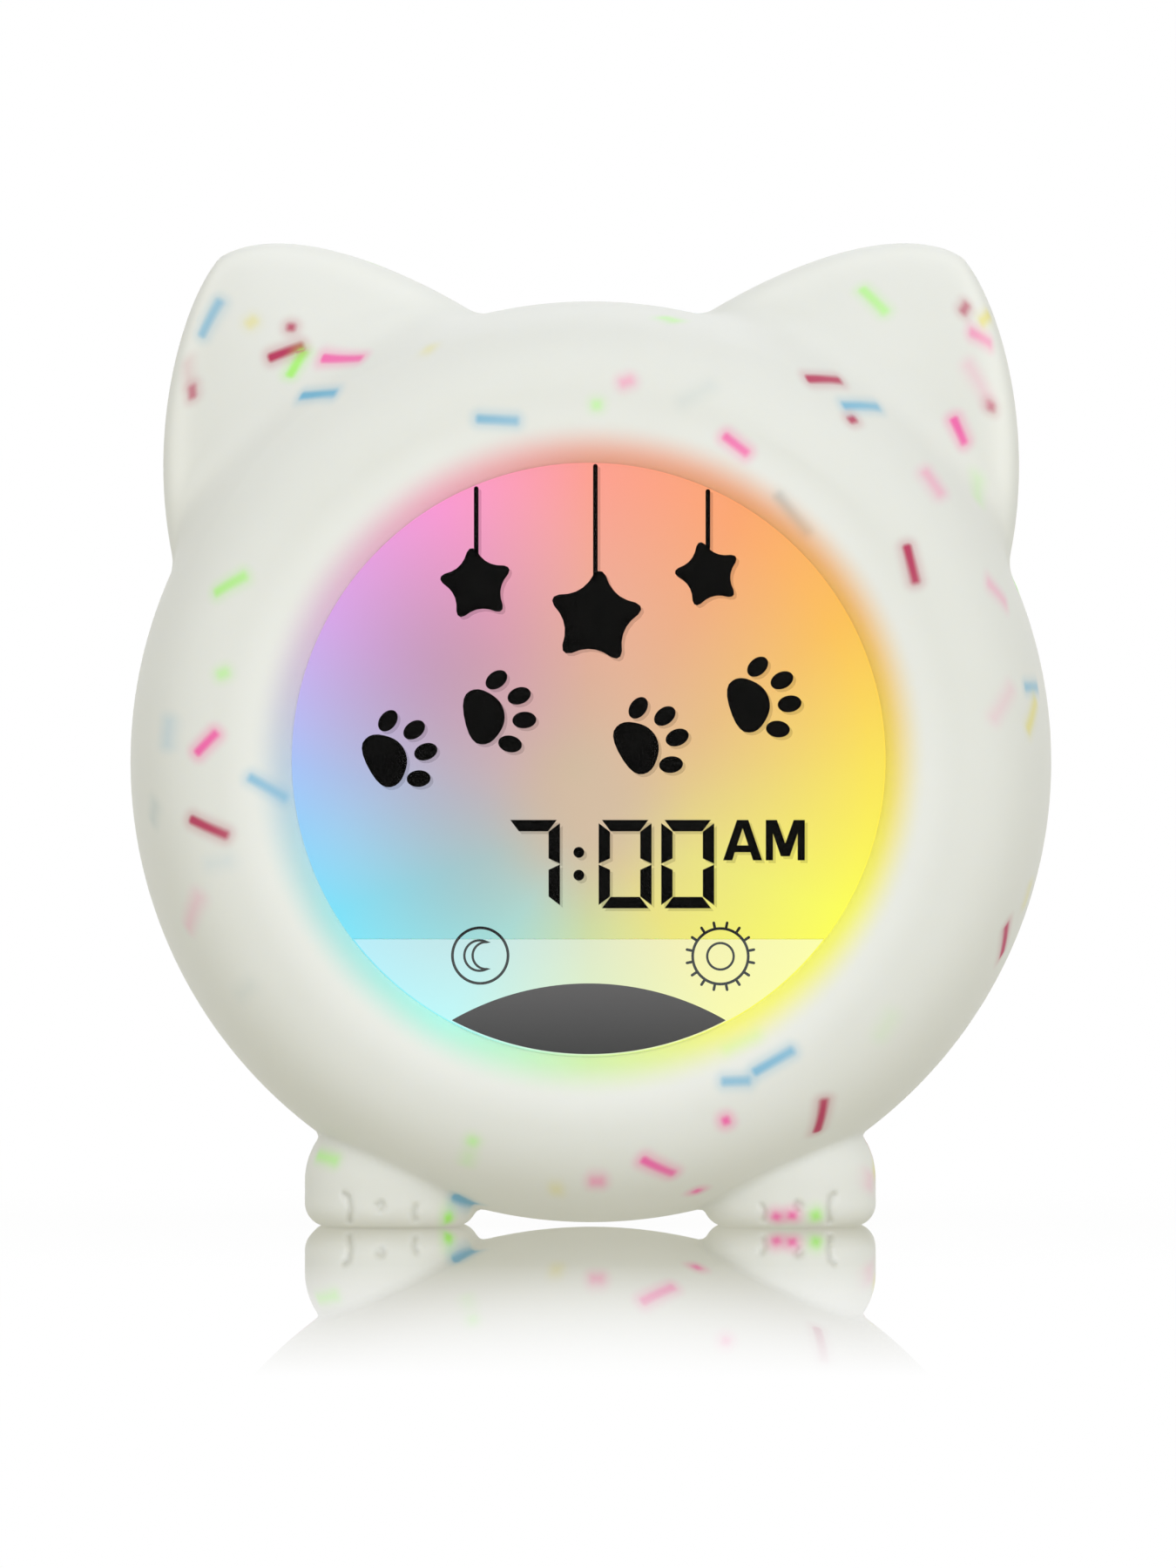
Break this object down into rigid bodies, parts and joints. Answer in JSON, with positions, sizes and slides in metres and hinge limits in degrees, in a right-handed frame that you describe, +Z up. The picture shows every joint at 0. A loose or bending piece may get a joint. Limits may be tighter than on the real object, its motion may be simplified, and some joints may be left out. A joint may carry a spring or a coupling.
{
  "type": "kids alarm clock with night light",
  "caption": "Round table alarm clock and night light in a soft silicone sleeve with two ears and two paws, a lit round display in front and push buttons on the back.",
  "frame": {"origin": "middle of the bounding box's bottom, on the surface under the paws", "axes": "+Z up from the soles to the ear tips, -Y out of the display, +X to the right of someone facing the display"},
  "size_m": [0.1402, 0.068, 0.1498],
  "materials": {
    "silicone": "satin translucent silicone",
    "clear_plastic": "gloss",
    "film": "gloss",
    "lcd": "gloss",
    "opal": "satin",
    "white_abs": "fine matte",
    "white_button": "satin",
    "board": "solder mask",
    "chip": "matte",
    "black_plastic": "matte",
    "led": "gloss",
    "aluminium_can": "drawn",
    "steel": "zinc plated",
    "paper": "pressed paper",
    "foam": "foam",
    "cell_wrap": "shrink wrap",
    "magnet": "nickel"
  },
  "bodies": {
    "clock": {"silicone_sleeve": "silicone", "window_lens": "clear_plastic", "touch_film": "film", "lcd_panel": "lcd", "glow_frame": "opal", "diffuser_plate": "opal", "reflector_tray": "white_abs", "led_board": "board", "leds": "led", "tray_screws": "steel", "front_case": "white_abs", "rear_case": "white_abs", "case_screws": "steel", "main_board": "board", "main_chips": "chip", "capacitors": "aluminium_can", "board_sockets": "white_abs", "board_screws": "steel", "tact_switches": "steel", "speaker_basket": "steel", "speaker_cone": "paper", "speaker_magnet": "magnet", "speaker_seal": "foam", "speaker_screws": "steel", "battery_cell": "cell_wrap", "battery_clamp": "white_abs", "clamp_screws": "steel", "usb_board": "board", "usb_socket": "steel", "usb_screws": "steel", "power_switch_body": "black_plastic", "power_screws": "steel"},
    "light_button": {"button_light": "white_button", "plunger_light": "black_plastic"},
    "sound_button": {"button_sound": "white_button", "plunger_sound": "black_plastic"},
    "timer_button": {"button_timer": "white_button", "plunger_timer": "black_plastic"},
    "set_button": {"button_set": "white_button", "plunger_set": "black_plastic"},
    "plus_button": {"button_plus": "white_button", "plunger_plus": "black_plastic"},
    "minus_button": {"button_minus": "white_button", "plunger_minus": "black_plastic"},
    "power_knob": {"power_switch_knob": "black_plastic"}
  },
  "joints": [
    {"name": "light_press", "type": "slide", "parent": "clock", "child": "light_button", "axis": [0, -1, 0], "range_m": [0, 0.0006], "stiffness_N_per_m": 1500, "springref_m": -0.0004},
    {"name": "sound_press", "type": "slide", "parent": "clock", "child": "sound_button", "axis": [0, -1, 0], "range_m": [0, 0.0006], "stiffness_N_per_m": 1500, "springref_m": -0.0004},
    {"name": "timer_press", "type": "slide", "parent": "clock", "child": "timer_button", "axis": [0, -1, 0], "range_m": [0, 0.0006], "stiffness_N_per_m": 1500, "springref_m": -0.0004},
    {"name": "set_press", "type": "slide", "parent": "clock", "child": "set_button", "axis": [0, -1, 0], "range_m": [0, 0.0006], "stiffness_N_per_m": 1500, "springref_m": -0.0004},
    {"name": "plus_press", "type": "slide", "parent": "clock", "child": "plus_button", "axis": [0, -1, 0], "range_m": [0, 0.0006], "stiffness_N_per_m": 1500, "springref_m": -0.0004},
    {"name": "minus_press", "type": "slide", "parent": "clock", "child": "minus_button", "axis": [0, -1, 0], "range_m": [0, 0.0006], "stiffness_N_per_m": 1500, "springref_m": -0.0004},
    {"name": "power_slide", "type": "slide", "parent": "clock", "child": "power_knob", "axis": [1, 0, 0], "range_m": [0, 0.0025]}
  ]
}
